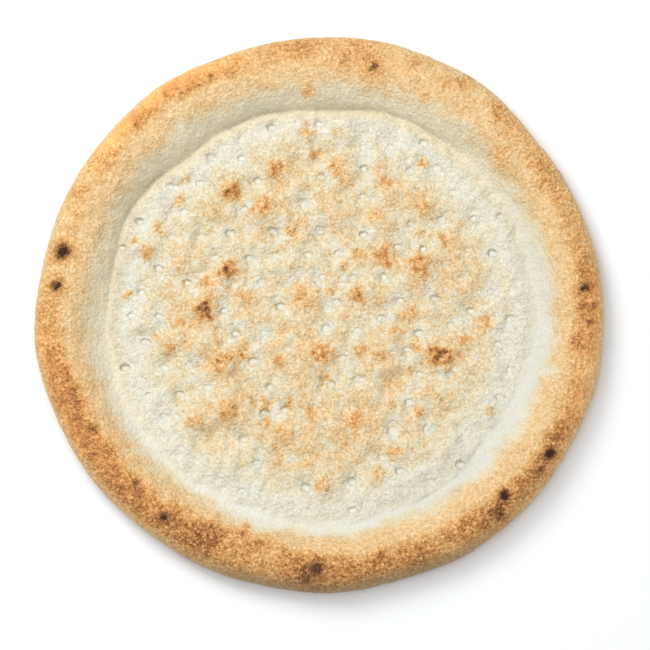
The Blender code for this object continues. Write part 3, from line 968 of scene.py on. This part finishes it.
def grained(shader, toast, grit, grain):
    """Browning with its grain, mottle and freckles."""
    swing = shader.math("MULTIPLY_ADD", toast, GRAIN_GAIN, GRAIN_LEAST)
    swing = shader.math("MULTIPLY", swing, shader.math("SUBTRACT", GRAIN_TURN, toast))
    tone = shader.math("MULTIPLY_ADD", shader.about_zero(grain), swing, toast)
    mottle = shader.math("MULTIPLY", shader.about_zero(shader.noise(MOTTLE_SIZE)), swing)
    tone = shader.math("MULTIPLY_ADD", mottle, MOTTLE_STRENGTH, tone)
    freckles = shader.scaled(shader.noise(FRECKLE_SIZE), *FRECKLE_RANGE, 0.0, FRECKLE_STRENGTH)
    freckles = shader.math("MULTIPLY", freckles, shader.scaled(toast, *FRECKLE_TONES))
    freckles = shader.math("MULTIPLY", freckles, grit)
    return shader.math("ADD", tone, freckles, clamp=True)


def crust_colour(shader, toast, grit, grain, pores):
    """The dough's colour where it isn't charred, with painted glints (highlights), dips and specks."""
    colour = shader.ramp(grained(shader, toast, grit, grain), DOUGH_RAMP)
    glints = shader.scaled(pores, *GLINT_RANGE, 0.0, GLINT_STRENGTH)
    glints = shader.math("MULTIPLY", glints, shader.math("SUBTRACT", GLINT_TURN, toast))
    colour = shader.mix(glints, colour, GLINT_COLOUR)
    dips = shader.math("MULTIPLY", shader.scaled(pores, *DIP_RANGE, 1.0, 0.0), grit, clamp=True)
    speckle = shader.about_zero(shader.noise(SPECKLE_SIZE, *SPECKLE_NOISE))
    speckle = shader.math("MULTIPLY", speckle, grit)
    lightness = shader.math("MULTIPLY_ADD", speckle, SPECKLE_STRENGTH, 1.0)
    # the painted light and shade from the mesh, times the grain's specks
    lightness = shader.math("MULTIPLY", shader.attribute("painted_light_and_shade"), lightness)
    faded = shader.faded(colour, shader.math("MULTIPLY_ADD", speckle, -SPECKLE_STRENGTH, 1.0))
    return shader.tinted(faded, shader.mix(dips, (1, 1, 1), DIP_TINT), lightness)


def charring(shader, grain):
    """How far the dough is charred, with a crumbled edge."""
    char = shader.attribute("char")
    crumbled = shader.math("MULTIPLY", shader.about_zero(grain), CHAR_CRUMBLED)
    burnt = shader.math("MULTIPLY_ADD", crumbled, char, char)
    return shader.scaled(burnt, *CHAR_RANGE, 0.0, CHAR_MOST)


def crust_bump(shader, grit, pores):
    """The finest relief: pores, over rounded crumbs with dips between them."""
    fine = shader.math("MULTIPLY", pores, shader.math("MULTIPLY_ADD", grit, GRIT_DEPTH, PORE_DEPTH))
    height = shader.math("MULTIPLY_ADD", shader.crumbs(CRUMB_SIZE), -CRUMB_DEPTH, fine)
    bump = shader.add("ShaderNodeBump")
    bump.inputs["Strength"].default_value = 1.0
    bump.inputs["Distance"].default_value = BUMP_HEIGHT
    shader.link(height, bump.inputs["Height"])
    return bump.outputs["Normal"]


def dough_material():
    shader = Shader("baked_dough")
    toast = blotched(shader, shader.attribute("toast"))
    grit = shader.attribute("grit")
    grain, pores = shader.noise(GRAIN_SIZE), shader.noise(PORE_SIZE)
    burnt = charring(shader, grain)
    colour = shader.mix(burnt, crust_colour(shader, toast, grit, grain, pores), CHAR_COLOUR)
    sockets = shader.surface.inputs
    shader.link(colour, sockets["Base Color"])
    shader.link(shader.scaled(toast, *ROUGHNESS), sockets["Roughness"])
    shader.link(shader.scaled(burnt, *SHINE), sockets["Specular IOR Level"])
    shader.link(crust_bump(shader, grit, pores), sockets["Normal"])
    return shader.material


def floor_material():
    shader = Shader("pale_floor")
    speck_colour = tuple(FLOOR_SPECK * part for part in FLOOR_COLOUR)
    stops = zip(FLOOR_SPECK_RANGE, (speck_colour, FLOOR_COLOUR))
    speckled = shader.ramp(shader.noise(FLOOR_SPECK_SIZE), tuple(stops))
    shader.link(speckled, shader.surface.inputs["Base Color"])
    shader.surface.inputs["Roughness"].default_value = FLOOR_ROUGHNESS
    shader.surface.inputs["Specular IOR Level"].default_value = FLOOR_SHINE
    return shader.material


# ---- Making it all ----


def bake_base():
    """The dressed pizza base, standing for the solid."""
    marks = docking_marks()
    ring, heading, radius, faces = base_points()
    plan = np.stack([radius * np.cos(heading), radius * np.sin(heading), np.zeros(len(ring))], axis=1)
    mesh = bpy.data.meshes.new("baked_base")
    mesh.from_pydata(plan.tolist(), [], faces)
    write(mesh, "ring", ring)
    refine_marks(mesh, marks)
    ring = read(mesh, "ring")
    mesh.shade_smooth()
    for face in mesh.polygons:
        if min(ring[i] for i in face.vertices) >= AT_UNDERSIDE:
            face.use_smooth = False
    set_heights(mesh, marks)
    add_map(mesh)
    brown(mesh, marks)
    roughen(mesh)
    low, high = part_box("pizza_base")
    points = positions(mesh)
    shift = (Vector(points.min(axis=0)) + Vector(points.max(axis=0))) / 2 - (low + high) / 2
    mesh.transform(Matrix.Translation((-shift.x, -shift.y, 0)))
    mesh.materials.append(dough_material())
    piece = bpy.data.objects.new("baked_base", mesh)
    bpy.context.scene.collection.objects.link(piece)
    return piece


def lay_floor():
    bpy.ops.mesh.primitive_plane_add(size=FLOOR_SIZE)
    floor = bpy.context.object
    floor.name = "pale_floor"
    floor.data.materials.append(floor_material())
    return floor


def aim(thing, target, up):
    """Turns a lamp or camera to face a point, with its top towards a direction."""
    back = (thing.location - Vector(target)).normalized()
    right = Vector(up).cross(back).normalized()
    top = back.cross(right)
    turn = Matrix((right, top, back)).transposed().to_4x4()
    thing.matrix_world = Matrix.Translation(thing.location) @ turn


def towards(heading, rise):
    heading, rise = math.radians(heading), math.radians(rise)
    level = math.cos(rise)
    return Vector((level * math.cos(heading), level * math.sin(heading), math.sin(rise)))


def hang_light(name, place, size, power):
    """A round soft light that faces the middle of the floor."""
    lamp = bpy.data.lights.new(name, "AREA")
    lamp.shape = "DISK"
    lamp.size = size
    lamp.energy = power
    light = bpy.data.objects.new(name, lamp)
    bpy.context.scene.collection.objects.link(light)
    light.location = place
    aim(light, (0, 0, 0), (0, 1, 0))


def light_room():
    world = bpy.data.worlds.new("room")
    bpy.context.scene.world = world
    world.use_nodes = True
    sky = world.node_tree.nodes["Background"]
    sky.inputs["Color"].default_value = (*SKY_COLOUR, 1)
    sky.inputs["Strength"].default_value = SKY_STRENGTH
    hang_light("window", LIGHT_DISTANCE * towards(LIGHT_HEADING, LIGHT_RISE), LIGHT_SIZE, LIGHT_POWER)
    hang_light("overhead", Vector((0, 0, TOP_HEIGHT)), TOP_SIZE, TOP_POWER)


def place_camera():
    data = bpy.data.cameras.new("camera")
    data.lens = CAMERA_LENS
    data.clip_end = CAMERA_SIGHT
    camera = bpy.data.objects.new("camera", data)
    bpy.context.scene.collection.objects.link(camera)
    camera.location = Vector(CAMERA_AIM) + CAMERA_DISTANCE * towards(CAMERA_HEADING, 90 - CAMERA_LEAN)
    aim(camera, CAMERA_AIM, (0, 1, 0))
    bpy.context.scene.camera = camera


base = bake_base()
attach(base, "root")
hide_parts("pizza_base")
lay_floor()
light_room()
place_camera()
bpy.context.scene.view_settings.view_transform = "Standard"
